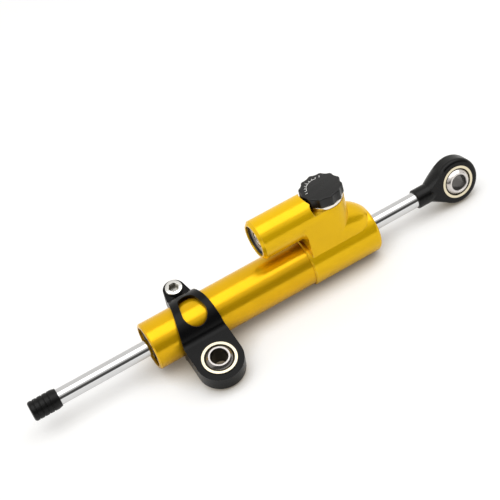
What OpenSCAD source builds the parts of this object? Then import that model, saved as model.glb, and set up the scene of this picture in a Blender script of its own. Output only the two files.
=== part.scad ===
// Steering damper for a motorcycle: a hydraulic cylinder with a rod through both ends,
// a head block that carries a rotary adjuster and a reservoir, and a clamp on the tube.
// The origin is the centre of the ball in the rod end. +X runs along the rod towards
// that end, and +Z is the axis of the adjuster.

/* [Rod] */
// Diameter of the piston rod
rod_d = 8; // [7:0.5:9]
// Length of the rod between the shoulders of its two threaded ends
rod_length = 200.2; // [190:0.2:220]
// Diameter of the threaded ends
rod_thread_d = 6; // [5:0.5:6.5]
// Length of each threaded end
rod_thread_length = 10; // [8:0.5:11]
// Space left beyond each threaded end in its hole
thread_gap = 0.3; // [0:0.1:0.5]
// Depth of the two snap ring grooves beside the piston
rod_groove_depth = 0.5; // [0.3:0.1:0.8]

/* [Rod end] */
// Distance from the centre of the ball to the shoulder of the rod
shank_length = 23.2; // [22.5:0.1:28]
// Diameter of the round shank
shank_d = 10; // [9:0.5:11]
// Distance from the centre of the ball to the start of the neck
neck_start = 15.5; // [14:0.5:17]
// Distance from the centre of the ball to the point where the shank's nose dies away
nose_end = 12.8; // [12.5:0.1:13.5]
// Diameter of the head
head_d = 24; // [23:0.5:26]
// Width of the head along the ball's axis
head_width = 9; // [8:0.5:9.5]
// Rounding of the head's rim
head_edge = 2; // [0.5:0.1:2]
// Angle of the ball's axis from +Z towards -Y
rod_end_lean = 81; // [0:1:90]

/* [Spherical bearings] */
// Diameter of the ball
ball_d = 15.875; // [15.5:0.125:16.25]
// Width of the ball across its flat faces
ball_width = 12; // [11:0.5:12.5]
// Bore of the ball
ball_bore_d = 8; // [6:0.5:8.5]
// Chamfer at each mouth of the ball's bore
ball_chamfer = 0.4; // [0.2:0.1:0.6]
// Outside diameter of the race
race_d = 17.2; // [17:0.1:18]
// Width of the race
race_width = 9.4; // [9:0.1:10]
// Diameter of the race's chamfered mouth
race_mouth_d = 14.5; // [14:0.1:15]

/* [End cap] */
// Diameter of the cap on the free end of the rod
cap_d = 10; // [9:0.5:12]
// Length of the cap
cap_length = 14.3; // [13:0.1:18]
// Number of grooves around the cap
cap_grooves = 4; // [2:1:5]
// Distance between two grooves
cap_groove_pitch = 2.5; // [2:0.1:2.8]
// Depth of a groove
cap_groove_depth = 0.3; // [0.2:0.1:0.8]
// Rounding of the cap's closed end
cap_edge = 1.2; // [0.5:0.1:2]
// Taper at the cap's open end
cap_taper = 0.5; // [0.2:0.1:1]

/* [Tube] */
// Outside diameter of the tube
tube_d = 24; // [23.5:0.1:24.4]
// Bore of the tube
tube_bore_d = 20.5; // [20:0.1:21]
// Length of the tube that shows beside the head block
tube_visible = 86.4; // [80:0.2:110]
// Depth to which the tube's full diameter enters the head block
tube_seat_depth = 2; // [1:0.5:4]
// Depth of the step from the tube's outside down to its spigot
spigot_step = 0.75; // [0.5:0.05:1]
// Length of the spigot
spigot_length = 12; // [10:0.5:13]
// Chamfer at the tube's open end
tube_chamfer = 0.7; // [0.3:0.1:1]

/* [Head block] */
// Distance from the centre of the rod-end ball to the near face of the block
block_stand_out = 50.6; // [50:0.1:60]
// Length of the block's barrel
block_length = 38.5; // [38:0.1:48]
// Diameter of the barrel
barrel_d = 25.8; // [25.5:0.1:28]
// Rounding of the barrel's outer end
barrel_edge = 2.2; // [0.5:0.1:2.3]
// Chamfer at the barrel's inner end
barrel_chamfer = 0.6; // [0.2:0.1:0.8]
// Width of the web, which is also the diameter of the turret and of the reservoir
upper_d = 20.2; // [19.6:0.1:21]
// Distance from the barrel's inner end to the web
web_inset = 2.1; // [1.5:0.1:4]
// Fillet between the web's end and the reservoir
web_fillet = 2.3; // [1:0.1:2.6]
// Fillet between the web and the barrel
barrel_fillet = 1; // [0.5:0.1:1.2]
// Distance from the near face to the axis of the turret
turret_setback = 20.1; // [18:0.1:22]
// Height of the turret's top above the axis of the reservoir
turret_rise = 3.4; // [2.6:0.1:6]
// Radius of the round shoulder that falls from the turret to the near face
shoulder_r = 22.1; // [21.9:0.1:22.5]
// Distance from the turret's axis to the centre of the shoulder
shoulder_shift = 1.2; // [0:0.1:1.5]

/* [Reservoir] */
// Height of the reservoir's axis above the axis of the rod
reservoir_height = 26.4; // [26:0.1:28]
// Distance from the turret's axis to the open face of the reservoir
reservoir_reach = 39.3; // [38:0.1:50]
// Bore of the reservoir
reservoir_bore_d = 15.8; // [15:0.1:16]
// Depth of that bore
reservoir_depth = 27; // [25:0.5:28]
// Chamfer at the open face
reservoir_chamfer = 1.4; // [0.5:0.1:1.5]
// Gap between the knob and the round wall that the reservoir ends in beside it
well_gap = 0.5; // [0.3:0.1:0.8]
// Radius of the round relief at each end of that wall
relief_r = 2.9; // [2.5:0.1:3.2]
// Distance of each relief from the turret's axis, along the rod and across it
relief_place = 7.6; // [7.4:0.1:8]
// Diameter of the port between the tube and the reservoir
port_d = 2.5; // [1.5:0.1:3]
// Distance from the web's end to the axis of that port
port_inset = 2.4; // [2:0.1:3]
// Depth of the reservoir's retaining ring below the open face
reservoir_clip_inset = 0.8; // [0.6:0.1:1.2]
// Thickness of that ring
reservoir_clip_thickness = 0.8; // [0.6:0.1:1]
// Width of that ring, measured along a radius
reservoir_clip_width = 1.5; // [1.2:0.1:1.8]
// Length of the plug
plug_length = 6; // [5:0.5:7]
// Diameter of the countersunk pocket in the plug
plug_pocket_d = 8; // [7.4:0.1:9]
// Depth of that pocket
plug_pocket_depth = 2.5; // [2:0.1:3]
// Diameter of the charge screw in the plug
charge_screw_d = 4; // [3:0.5:4]
// Diameter of its head
charge_head_d = 7; // [6.5:0.1:7.2]
// Height of its head
charge_head_height = 2.4; // [2:0.1:3]
// Width of its key
charge_key = 3; // [2.5:0.5:4]
// Length of the floating piston
float_length = 8; // [6:0.5:9]
// Diameter of the hollow in the floating piston
float_hollow_d = 9.4; // [8:0.1:10]
// Depth of that hollow
float_hollow_depth = 2; // [1:0.1:2.5]
// Distance from the plug to the floating piston
float_gap = 4.4; // [3.5:0.1:5]

/* [Glands and seals] */
// Depth of the retaining ring below the face of the tube or block
clip_inset = 1.2; // [0.8:0.1:1.6]
// Thickness of the retaining rings of the glands
clip_thickness = 1; // [0.8:0.1:1.2]
// Depth of their grooves
clip_groove_depth = 0.6; // [0.4:0.1:0.8]
// Width of the rings, measured along a radius
clip_width = 2.1; // [1.6:0.1:2.4]
// Length of the gland's flange
gland_length = 9; // [8:0.5:10]
// Length of the gland's nose inside the liner
gland_nose_length = 5; // [4:0.5:6]
// Diameter of the wiper's seat
wiper_d = 13; // [12.6:0.1:14]
// Length of the wiper's seat
wiper_length = 2.5; // [2:0.1:3]
// Height of the wiper's lip
wiper_lip = 0.8; // [0.4:0.1:1]
// Diameter of the rod seal's seat
seal_d = 12; // [11.5:0.1:12.5]
// Length of the rod seal's seat
seal_length = 4; // [3:0.5:5]
// Outside diameter of the guide bush
bush_d = 10; // [9.5:0.1:11]
// Thickness of the glands' sealing rings
o_ring_d = 1; // [0.8:0.1:1.2]
// Thickness of the sealing ring around the spigot
spigot_ring_d = 0.8; // [0.6:0.1:0.9]
// Thickness of the sealing rings on the plug and on the floating piston
reservoir_ring_d = 1.5; // [1:0.1:1.8]

/* [Liner and piston] */
// Bore of the liner
liner_bore_d = 17; // [16.6:0.1:17.2]
// Wall of the liner
liner_wall = 1; // [0.8:0.1:1.2]
// Diameter of the liner's flow holes
liner_hole_d = 2; // [1.5:0.1:2.5]
// Distance from the gland's nose to the liner's cross holes
liner_hole_inset = 1.5; // [1.3:0.1:3]
// Distance from the centre of the rod-end ball to the middle of the piston
piston_place = 123.4; // [110:0.2:135]
// Diameter of the piston
piston_d = 16.6; // [16.2:0.1:16.8]
// Length of the piston
piston_length = 14; // [12:0.5:16]
// Width of the piston's guide band
band_width = 6; // [4:0.5:7]
// Diameter of the groove under the band
band_groove_d = 15; // [14:0.1:15.4]
// Thickness of the snap rings beside the piston
snap_thickness = 0.8; // [0.6:0.1:1]
// Outside diameter of those snap rings
snap_d = 9.6; // [9:0.1:11]
// Width of their mouths
snap_mouth = 5.6; // [4:0.1:6]

/* [Adjuster] */
// Diameter of the knob
knob_d = 21.2; // [20:0.1:21.4]
// Height of the knob
knob_height = 5.4; // [4.7:0.1:7]
// Number of scallops around the knob
knob_scallops = 12; // [8:1:16]
// Depth of a scallop
scallop_depth = 0.7; // [0.4:0.1:1]
// Radius of the cutter that leaves a scallop
scallop_r = 6; // [4:0.5:8]
// Bevel at the knob's top
knob_bevel = 0.7; // [0.3:0.1:1]
// Depth of the hollow in the knob that takes the spindle
knob_socket_depth = 3.6; // [3:0.1:3.8]
// Diameter of the bright ring under the knob
ring_d = 19.6; // [18:0.1:20]
// Height of that ring
ring_height = 1.8; // [1:0.1:2]
// Diameter of the bore in the turret
turret_bore_d = 14; // [13:0.1:15]
// Depth of the bore in the turret
turret_bore_depth = 5.8; // [5.5:0.1:6.5]
// Height of the spindle's flange
flange_height = 2.9; // [2.5:0.1:3.2]
// Diameter of the spindle
spindle_d = 8; // [7:0.1:8.4]
// Depth of the metering seat's top below the floor of the spindle's bore
seat_sink = 1; // [0.8:0.1:1.5]
// Gap between the spindle's body and the floor of its bore
spindle_end_gap = 1; // [0.5:0.1:1.5]
// Gap between the spindle's tip and the metering seat
tip_gap = 0.3; // [0.2:0.05:0.4]
// Diameter of the spindle's tip where it meets the body
tip_d = 4; // [3:0.1:4.4]
// Outside diameter of the metering seat
seat_d = 5; // [4.6:0.1:5.4]
// Diameter of the orifice in the metering seat
orifice_d = 1.5; // [1:0.1:2]
// Length of the metering seat
seat_length = 4.4; // [4:0.1:4.6]
// Diameter of the ball of the click detent
detent_d = 2; // [1.6:0.1:2.2]
// Height by which that ball stands above the turret's floor
detent_rise = 0.3; // [0.2:0.1:0.4]
// Distance from the spindle's axis to the detent
detent_reach = 5.4; // [5.3:0.1:5.5]
// Angle between two clicks of the adjuster
click_angle = 30; // [20:5:45]
// Depth of the detent's hole
detent_depth = 5.9; // [5.6:0.1:7]
// Thickness of the detent spring's wire
detent_wire = 0.36; // [0.3:0.02:0.4]
// Number of turns of the detent spring
detent_turns = 4; // [2:1:4]
// Diameter of the knob's grub screw
grub_d = 3; // [2:0.5:3]
// Length of the grub screw
grub_length = 4; // [3:0.5:5]
// Width of its key
grub_key = 1.5; // [0.9:0.1:1.5]

/* [Clamp] */
// Distance from the tube's open end to the middle of the clamp
clamp_place = 23.9; // [14.8:0.1:50]
// Angle of the clamp's bearing axis from +Z towards -Y
clamp_lean = 16.5; // [0:0.5:45]
// Outside diameter of the clamp's ring
wrap_d = 28.6; // [28:0.1:32]
// Half width of the ring along the tube
wrap_half = 9; // [8:0.1:10]
// Distance along the tube from the bearing's axis to the middle of the ring and its screw
wrap_shift = 1; // [0:0.1:1.5]
// Distance from the tube's axis to the bearing's axis
lug_reach = 27.4; // [27:0.1:32]
// Radius of the lug around the bearing
lug_r = 11.7; // [11.4:0.1:14]
// Thickness of the lug
lug_thickness = 8.4; // [7:0.1:9]
// Height of the bearing's centre above the tube's axis
lug_rise = 2.05; // [0:0.05:3]
// Distance from the tube's axis to the clamp screw
boss_reach = 18.6; // [17.8:0.1:22]
// Diameter of the boss of the clamp screw
boss_d = 11; // [10.6:0.1:13]
// Height of the boss above the split
boss_top = 5; // [5:0.1:9]
// Depth of the boss below the split
boss_bottom = 6; // [6:0.1:8]
// Width of the clamp's split
split = 1.5; // [1:0.1:2.5]
// Fillet between the ring and the lug
lug_fillet = 4; // [1:0.5:4.5]
// Fillet between the ring and the boss
boss_fillet = 1.5; // [0.5:0.1:2]
// Diameter of the clamp screw
clamp_screw_d = 5; // [4:0.5:5]
// Diameter of its head
clamp_head_d = 8.5; // [8:0.1:9]
// Height of its head
clamp_head_height = 4; // [4:0.1:5]
// Width of its key
clamp_key = 4; // [3:0.5:4]
// Height by which the head stands above the boss
clamp_head_rise = 2; // [-0.5:0.1:2]
// Distance from the screw's tip to the bottom of the boss
clamp_screw_gap = 0.5; // [0:0.1:2]
// Radius of the window's wide end
window_wide_r = 6; // [4:0.1:6.2]
// Radius of the window's narrow end
window_narrow_r = 4.6; // [3:0.1:5]
// Distance from the tube's axis to the centre of the window's wide end
window_wide_place = 3.8; // [2:0.1:4.5]
// Distance from the tube's axis to the centre of the window's narrow end
window_narrow_place = 3.2; // [2:0.1:4.5]

/* [Clearances] */
// Gap on the radius between a piece that slides or turns and its guide
running_gap = 0.04; // [0.02:0.01:0.06]
// Gap on the radius between pieces that are screwed or pressed together
seat_gap = 0.02; // [0.01:0.01:0.04]
// Gap along the axis beside a piece that turns
end_gap = 0.1; // [0.05:0.01:0.15]
// Gap on the radius around a screw in its clearance hole
screw_gap = 0.1; // [0.05:0.05:0.2]
// Chamfer or rounding of small edges
edge = 0.4; // [0.2:0.1:0.5]

/* [Hidden] */

// Steps of a full turn on round faces
$fn = 96;
// How far a cutting shape runs past the face that it opens
past = 1;
// Width of a sealing ring's groove, as a share of the ring's thickness
groove_share = 1.4;
// Radius of a retaining ring's eyes, as a share of the ring's width
eye_share = 0.6;
// Depth to which the web's fillet dips into the barrel, as a share of its radius
fillet_dip = 0.03;
// Depth to which a flat dips into the rounds that it joins, as a share of their radius
flat_dip = 0.002;
// Width of the groove between the two lips of a rod seal
lip_groove = 0.8;

// Places along the rod
rod_right = -shank_length;
rod_left = rod_right - rod_length;
block_right = -block_stand_out;
block_left = block_right - block_length;
tube_left = block_left - tube_visible;
spigot_start = block_left + tube_seat_depth;
spigot_end = spigot_start + spigot_length;
turret_x = block_right - turret_setback;
web_left = block_left + web_inset;
reservoir_left = turret_x - reservoir_reach;
reservoir_floor = reservoir_left + reservoir_depth;
shoulder_cut = barrel_edge / 4;
piston_left = -piston_place - piston_length / 2;
piston_right = -piston_place + piston_length / 2;
clamp_x = tube_left + clamp_place;

// Radii that several pieces share
rod_r = rod_d / 2;
tube_bore_r = tube_bore_d / 2;
barrel_r = barrel_d / 2;
upper_r = upper_d / 2;
liner_bore_r = liner_bore_d / 2;
liner_r = liner_bore_r + liner_wall;
reservoir_bore_r = reservoir_bore_d / 2;
spindle_r = spindle_d / 2;
turret_bore_r = turret_bore_d / 2;
ball_r = ball_d / 2;
wrap_bore_r = tube_d / 2 + running_gap;
wrap_r = wrap_d / 2;
boss_r = boss_d / 2;

// Depths of the gland's parts below the face of the tube or block
flange_top = clip_inset + clip_thickness;
seal_top = flange_top + wiper_length;
bush_top = seal_top + seal_length;
flange_bottom = flange_top + gland_length;
nose_bottom = flange_bottom + gland_nose_length;
gland_ring_depth = (flange_top + flange_bottom) / 2;
port_x = web_left + port_inset;
spigot_d = tube_d - 2 * spigot_step;
spigot_ring_x = spigot_end - 3 * spigot_ring_d;

// Heights on the turret's axis
turret_height = reservoir_height + turret_rise;
turret_floor = turret_height - turret_bore_depth;
flange_low = turret_floor + end_gap / 2;
sleeve_low = flange_low + flange_height + end_gap;
ring_top = turret_height + ring_height;
knob_low = ring_top + end_gap;
stem_top = knob_low + knob_socket_depth;
knob_top = knob_low + knob_height;
seat_low = liner_r + end_gap;
seat_top = seat_low + seat_length;
spindle_floor = seat_top + seat_sink;
detent_z = turret_floor + detent_rise - detent_d / 2;
detent_floor = turret_floor - detent_depth;
detent_hole_r = detent_d / 2 + end_gap / 2;
spindle_ring_z = (spindle_floor + turret_floor) / 2;

// Detent spring: sides of its wire, steps in a turn, radius of its coil, its two ends and
// its rise in a turn
coil_sides = 6;
coil_steps = 8;
spring_r = detent_hole_r - end_gap - detent_wire / 2;
spring_low = detent_floor + detent_wire / 2 + end_gap;
spring_high = detent_z - detent_d / 2 - detent_wire / 2;
spring_rise = (spring_high - spring_low) / detent_turns;

// Places in the reservoir
plug_left = reservoir_left + reservoir_clip_inset + reservoir_clip_thickness;
plug_right = plug_left + plug_length;
float_left = plug_right + float_gap;

// Heights in the clamp, measured along its bearing's axis
lug_low = lug_rise - lug_thickness / 2;
lug_high = lug_rise + lug_thickness / 2;
screw_seat = boss_top + clamp_head_rise - clamp_head_height;

// Solid or hole of round section along the rod's axis
module bar(r, from, to) {
    translate([from, 0, 0]) rotate([0, 90, 0]) cylinder(r = r, h = to - from);
}

// Solid turned about the rod's axis from a profile of radius and place
module turned() {
    rotate([0, 90, 0]) rotate_extrude() children();
}

// Rectangle of radius and place whose two outer corners are rounded
module round_profile(r, from, to, edge_from, edge_to) {
    difference() {
        translate([0, from]) square([r, to - from]);
        if (edge_from > 0)
            difference() {
                translate([r - edge_from, from - past]) square([edge_from + past, edge_from + past]);
                translate([r - edge_from, from + edge_from]) circle(r = edge_from);
            }
        if (edge_to > 0)
            difference() {
                translate([r - edge_to, to - edge_to]) square([edge_to + past, edge_to + past]);
                translate([r - edge_to, to - edge_to]) circle(r = edge_to);
            }
    }
}

// Ring of round section about the rod's axis
module sealing_ring(outside_r, thickness, place) {
    translate([place, 0, 0]) turned() translate([outside_r - thickness / 2, 0]) circle(d = thickness);
}

// Groove for such a ring, open outwards
module ring_groove(outside_r, thickness, place) {
    floor_r = outside_r - thickness - seat_gap;
    width = groove_share * thickness;
    difference() {
        bar(outside_r + past, place - width / 2, place + width / 2);
        bar(floor_r, place - width, place + width);
    }
}

// Upright bar with two round ends of their own radius, joined by flats that all but touch
// them
module link(a, a_r, b, b_r, low, high) {
    reach = norm(b - a);
    along = (b - a) / reach;
    across = [-along.y, along.x];
    lean = (a_r - b_r) / reach;
    side = sqrt(1 - lean * lean);
    left = (1 - flat_dip) * (lean * along + side * across);
    right = (1 - flat_dip) * (lean * along - side * across);
    translate([0, 0, low]) {
        translate(a) cylinder(r = a_r, h = high - low);
        translate(b) cylinder(r = b_r, h = high - low);
        linear_extrude(high - low)
            polygon([a + a_r * left, b + b_r * left, b + b_r * right, a + a_r * right]);
    }
}

// Open retaining ring with two eyes for pliers, its back at z = 0
module open_ring(inside_r, outside_r, thickness) {
    eye_r = eye_share * (outside_r - inside_r);
    gap = 3 * eye_r;
    eye_angle = asin((gap + eye_r) / 2 / inside_r);
    linear_extrude(thickness) difference() {
        union() {
            difference() {
                circle(r = outside_r);
                circle(r = inside_r);
                translate([inside_r / 2, -gap / 2]) square([outside_r, gap]);
            }
            for (side = [-1, 1])
                rotate(side * eye_angle) translate([inside_r, 0]) circle(r = eye_r);
        }
        for (side = [-1, 1])
            rotate(side * eye_angle) translate([inside_r, 0]) circle(r = eye_r / 2);
    }
}

// Socket head screw with its head's underside at z = 0 and its shank downwards
module socket_screw(thread_d, thread_length, screw_head_d, head_height, key_width) {
    difference() {
        union() {
            rotate_extrude() round_profile(screw_head_d / 2, 0, head_height, 0, edge);
            translate([0, 0, -thread_length]) cylinder(d = thread_d, h = thread_length);
        }
        translate([0, 0, head_height / 2])
            cylinder(d = key_width / cos(30), h = head_height, $fn = 6);
    }
}

// Places what follows at the tube's open end or at the block's near face, +X inwards
module at_left_end() {
    translate([tube_left, 0, 0]) children();
}
module at_right_end() {
    translate([block_right, 0, 0]) mirror([1, 0, 0]) children();
}

// Barrel of the head block, with its outer end rounded and its inner end chamfered
module barrel() {
    turned() intersection() {
        round_profile(barrel_r, block_left, block_right, 0, barrel_edge);
        polygon([
            [0, block_left], [barrel_r - barrel_chamfer, block_left],
            [barrel_r, block_left + barrel_chamfer], [barrel_r, block_right], [0, block_right]
        ]);
    }
}

// Round shoulder with a fully rounded rim, between the turret and the barrel's end
module shoulder() {
    flat_r = shoulder_r - upper_r;
    intersection() {
        translate([turret_x + shoulder_shift, 0, 0]) rotate([90, 0, 0]) rotate_extrude() {
            translate([0, -upper_r]) square([flat_r, upper_d]);
            translate([flat_r, 0]) intersection() {
                circle(r = upper_r);
                translate([0, -upper_r]) square([upper_r, upper_d]);
            }
        }
        translate([turret_x, -upper_r, 0])
            cube([turret_setback - shoulder_cut, upper_d, shoulder_r]);
    }
}

// Rolled fillet where the web's end meets the reservoir above it
module web_end_fillet() {
    outer_r = upper_r + web_fillet;
    intersection() {
        translate([0, 0, reservoir_height]) turned() difference() {
            translate([upper_r - past, web_left - web_fillet]) square([web_fillet + past, web_fillet]);
            translate([outer_r, web_left - web_fillet]) circle(r = web_fillet);
        }
        translate([web_left - web_fillet, -upper_r, barrel_r - past])
            cube([web_fillet, upper_d, reservoir_height - barrel_r]);
    }
}

// Half of the web's section across the rod, with its fillet onto the barrel. The fillet
// dips a little into the barrel, so that their faces cross at a plain edge.
module web_half_section() {
    centre_y = upper_r + barrel_fillet;
    centre_r = barrel_r + (1 - fillet_dip) * barrel_fillet;
    centre_z = sqrt(centre_r * centre_r - centre_y * centre_y);
    square([upper_r, reservoir_height]);
    difference() {
        square([centre_y * barrel_r / centre_r, centre_z]);
        translate([centre_y, centre_z]) circle(r = barrel_fillet);
    }
}

// Solid form of the head block before it is bored
module block_form() {
    barrel();
    shoulder();
    translate([web_left, 0, 0]) rotate([90, 0, 90]) linear_extrude(turret_x - web_left) {
        web_half_section();
        mirror([1, 0]) web_half_section();
    }
    translate([turret_x, 0, 0]) cylinder(r = upper_r, h = turret_height);
    translate([0, 0, reservoir_height]) turned() polygon([
        [0, reservoir_left], [upper_r - reservoir_chamfer, reservoir_left],
        [upper_r, reservoir_left + reservoir_chamfer], [upper_r, turret_x], [0, turret_x]
    ]);
    web_end_fillet();
}

// Bores of the head block along the rod
module block_bores() {
    bar(tube_d / 2 + seat_gap, block_left - past, spigot_start);
    bar(spigot_d / 2 + seat_gap, block_left, spigot_end);
    bar(tube_bore_r, block_left, block_right + past);
    bar(spigot_d / 2 + spigot_ring_d, spigot_ring_x - groove_share / 2 * spigot_ring_d,
        spigot_ring_x + groove_share / 2 * spigot_ring_d);
    bar(tube_bore_r + clip_groove_depth, block_right - clip_inset - clip_thickness,
        block_right - clip_inset);
}

// Bores of the head block for the adjuster and its detent
module turret_bores() {
    translate([turret_x, 0, 0]) {
        translate([0, 0, turret_floor]) cylinder(r = turret_bore_r, h = turret_height);
        translate([0, 0, spindle_floor]) cylinder(r = spindle_r + running_gap, h = turret_height);
        cylinder(d = seat_d + 2 * seat_gap, h = turret_floor);
        translate([detent_reach, 0, detent_floor])
            cylinder(r = detent_hole_r, h = detent_depth + past);
    }
}

// Bore of the reservoir, the groove of its retaining ring, and its port
module reservoir_bores() {
    translate([0, 0, reservoir_height]) {
        bar(reservoir_bore_r, reservoir_left - past, reservoir_floor);
        bar(reservoir_bore_r + clip_groove_depth, plug_left - reservoir_clip_thickness, plug_left);
    }
    translate([port_x, 0, 0]) cylinder(d = port_d, h = reservoir_height);
}

// Round well in which the knob turns, with a relief at each end of its wall
module turret_well() {
    translate([turret_x, 0, turret_height]) {
        cylinder(r = knob_d / 2 + well_gap, h = upper_d);
        for (side = [-1, 1])
            translate([-relief_place, side * relief_place, 0]) cylinder(r = relief_r, h = upper_d);
    }
}

module head_block() {
    color("gold") difference() {
        block_form();
        turret_well();
        block_bores();
        turret_bores();
        reservoir_bores();
    }
}

module damper_tube() {
    color("gold") difference() {
        turned() polygon([
            [tube_bore_r, tube_left], [tube_d / 2 - tube_chamfer, tube_left],
            [tube_d / 2, tube_left + tube_chamfer], [tube_d / 2, spigot_start],
            [spigot_d / 2, spigot_start], [spigot_d / 2, spigot_end], [tube_bore_r, spigot_end]
        ]);
        bar(tube_bore_r + clip_groove_depth, tube_left + clip_inset, tube_left + flange_top);
        translate([port_x, 0, 0]) cylinder(d = port_d, h = tube_d);
    }
}

module tube_o_ring() {
    color("dimgray")
        sealing_ring(spigot_d / 2 + spigot_ring_d - seat_gap, spigot_ring_d - 2 * seat_gap, spigot_ring_x);
}

module liner() {
    color("silver") difference() {
        turned() translate([liner_bore_r, tube_left + flange_bottom])
            square([liner_wall, block_right - tube_left - 2 * flange_bottom]);
        translate([tube_left + nose_bottom + liner_hole_inset, 0, 0]) for (turn = [0, 90])
            rotate([turn, 0, 0]) cylinder(d = liner_hole_d, h = tube_d, center = true);
        translate([turret_x, 0, 0]) cylinder(d = liner_hole_d, h = tube_d);
    }
}

// Gland: a flange that fills the bore and a nose that centres the liner
module gland() {
    difference() {
        union() {
            bar(tube_bore_r - seat_gap, flange_top, flange_bottom);
            bar(liner_bore_r - seat_gap, flange_top, nose_bottom);
        }
        bar(wiper_d / 2, flange_top - past, seal_top);
        bar(seal_d / 2, flange_top, bush_top);
        bar(bush_d / 2, flange_top, nose_bottom + past);
        ring_groove(tube_bore_r - seat_gap, o_ring_d, gland_ring_depth);
    }
}

// Guide bush of the rod
module bush() {
    turned() translate([rod_r + running_gap, bush_top])
        square([bush_d / 2 - seat_gap - rod_r - running_gap, nose_bottom - bush_top]);
}

// Rod seal: a cup with two lips that open towards the oil
module rod_seal() {
    inside = rod_r + running_gap;
    outside = seal_d / 2 - seat_gap;
    middle = (inside + outside) / 2;
    turned() difference() {
        translate([inside, seal_top]) square([outside - inside, seal_length]);
        polygon([
            [middle - lip_groove / 2, bush_top + past],
            [middle - lip_groove / 2, bush_top - seal_length / 3],
            [middle, bush_top - seal_length / 2],
            [middle + lip_groove / 2, bush_top - seal_length / 3],
            [middle + lip_groove / 2, bush_top + past]
        ]);
    }
}

// Wiper: a ring with one lip that stands proud of the gland
module wiper() {
    inside = rod_r + running_gap;
    turned() polygon([
        [inside, seal_top], [wiper_d / 2 - seat_gap, seal_top], [wiper_d / 2 - seat_gap, flange_top],
        [rod_r + 2 * wiper_lip, flange_top], [rod_r + wiper_lip / 2, flange_top - wiper_lip],
        [inside, flange_top - wiper_lip]
    ]);
}

// Sealing ring in the gland's groove
module gland_o_ring() {
    sealing_ring(tube_bore_r - seat_gap, o_ring_d - seat_gap, gland_ring_depth);
}

// Retaining ring of a gland
module gland_clip() {
    outside = tube_bore_r + clip_groove_depth - seat_gap;
    translate([clip_inset, 0, 0]) rotate([0, 90, 0])
        open_ring(outside - clip_width, outside, clip_thickness);
}

module left_gland() { color("gray") at_left_end() gland(); }
module left_bush() { color("peru") at_left_end() bush(); }
module left_rod_seal() { color("dimgray") at_left_end() rod_seal(); }
module left_wiper() { color("dimgray") at_left_end() wiper(); }
module left_gland_o_ring() { color("dimgray") at_left_end() gland_o_ring(); }
module left_circlip() { color("darkslategray") at_left_end() gland_clip(); }
module right_gland() { color("gray") at_right_end() gland(); }
module right_bush() { color("peru") at_right_end() bush(); }
module right_rod_seal() { color("dimgray") at_right_end() rod_seal(); }
module right_wiper() { color("dimgray") at_right_end() wiper(); }
module right_gland_o_ring() { color("dimgray") at_right_end() gland_o_ring(); }
module right_circlip() { color("darkslategray") at_right_end() gland_clip(); }

module metering_seat() {
    color("goldenrod") translate([turret_x, 0, seat_low]) difference() {
        cylinder(d = seat_d, h = seat_length);
        translate([0, 0, -past]) cylinder(d = orifice_d, h = seat_length + 2 * past);
    }
}

// Bright ring on the turret, with the threaded sleeve that holds the spindle down
module adjuster_retainer() {
    color("silver") translate([turret_x, 0, 0]) difference() {
        union() {
            rotate_extrude() round_profile(ring_d / 2, turret_height, ring_top, edge / 2, edge);
            translate([0, 0, sleeve_low])
                cylinder(r = turret_bore_r - seat_gap, h = ring_top - sleeve_low);
        }
        translate([0, 0, sleeve_low - past]) cylinder(r = spindle_r + end_gap, h = turret_height);
    }
}

module detent_ball() {
    color("silver") translate([turret_x + detent_reach, 0, detent_z]) sphere(d = detent_d);
}

// Rings of a round wire along a helix, as points for a polyhedron
function coil_angle(i) = 360 * i / coil_steps;
function coil_centre(i) = [
    spring_r * cos(coil_angle(i)), spring_r * sin(coil_angle(i)),
    spring_low + spring_rise * i / coil_steps
];
function coil_ring(i) = [
    for (k = [0:coil_sides - 1])
        let (turn = 360 * k / coil_sides, out = [cos(coil_angle(i)), sin(coil_angle(i)), 0])
            coil_centre(i) + detent_wire / 2 * (cos(turn) * out + [0, 0, sin(turn)])
];
echo(least_gap_of_spring_to_itself = spring_rise - detent_wire);

module detent_spring() {
    rings = detent_turns * coil_steps;
    last = rings * coil_sides;
    points = [for (i = [0:rings]) each coil_ring(i)];
    walls = [
        for (i = [0:rings - 1], k = [0:coil_sides - 1])
            let (a = i * coil_sides + k, b = i * coil_sides + (k + 1) % coil_sides)
                each [[a, a + coil_sides, b + coil_sides], [a, b + coil_sides, b]]
    ];
    ends = [
        for (k = [1:coil_sides - 2])
            each [[0, k, k + 1], [last, last + k + 1, last + k]]
    ];
    color("silver") translate([turret_x + detent_reach, 0, 0])
        polyhedron(points = points, faces = concat(walls, ends));
}

module reservoir_plug() {
    color("gray") translate([0, 0, reservoir_height]) difference() {
        bar(reservoir_bore_r - seat_gap, plug_left, plug_right);
        bar(plug_pocket_d / 2, plug_left - past, plug_left + plug_pocket_depth);
        bar(charge_screw_d / 2 + seat_gap, plug_left, plug_right + past);
        ring_groove(reservoir_bore_r - seat_gap, reservoir_ring_d, plug_right - reservoir_ring_d);
    }
}

module reservoir_plug_o_ring() {
    color("dimgray") translate([0, 0, reservoir_height]) sealing_ring(
        reservoir_bore_r - seat_gap, reservoir_ring_d - seat_gap, plug_right - reservoir_ring_d);
}

module reservoir_circlip() {
    outside = reservoir_bore_r + clip_groove_depth - seat_gap;
    color("darkslategray") translate([plug_left, 0, reservoir_height]) rotate([0, -90, 0])
        open_ring(outside - reservoir_clip_width, outside, reservoir_clip_thickness);
}

module charge_screw() {
    color("silver") translate([plug_left + plug_pocket_depth, 0, reservoir_height])
        rotate([0, -90, 0]) socket_screw(charge_screw_d, plug_length - plug_pocket_depth,
            charge_head_d, charge_head_height, charge_key);
}

// Places what follows in the clamp's frame: +Z along the bearing, +Y towards the screw
module in_clamp() {
    translate([clamp_x, 0, 0]) rotate([clamp_lean, 0, 0]) children();
}

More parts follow.
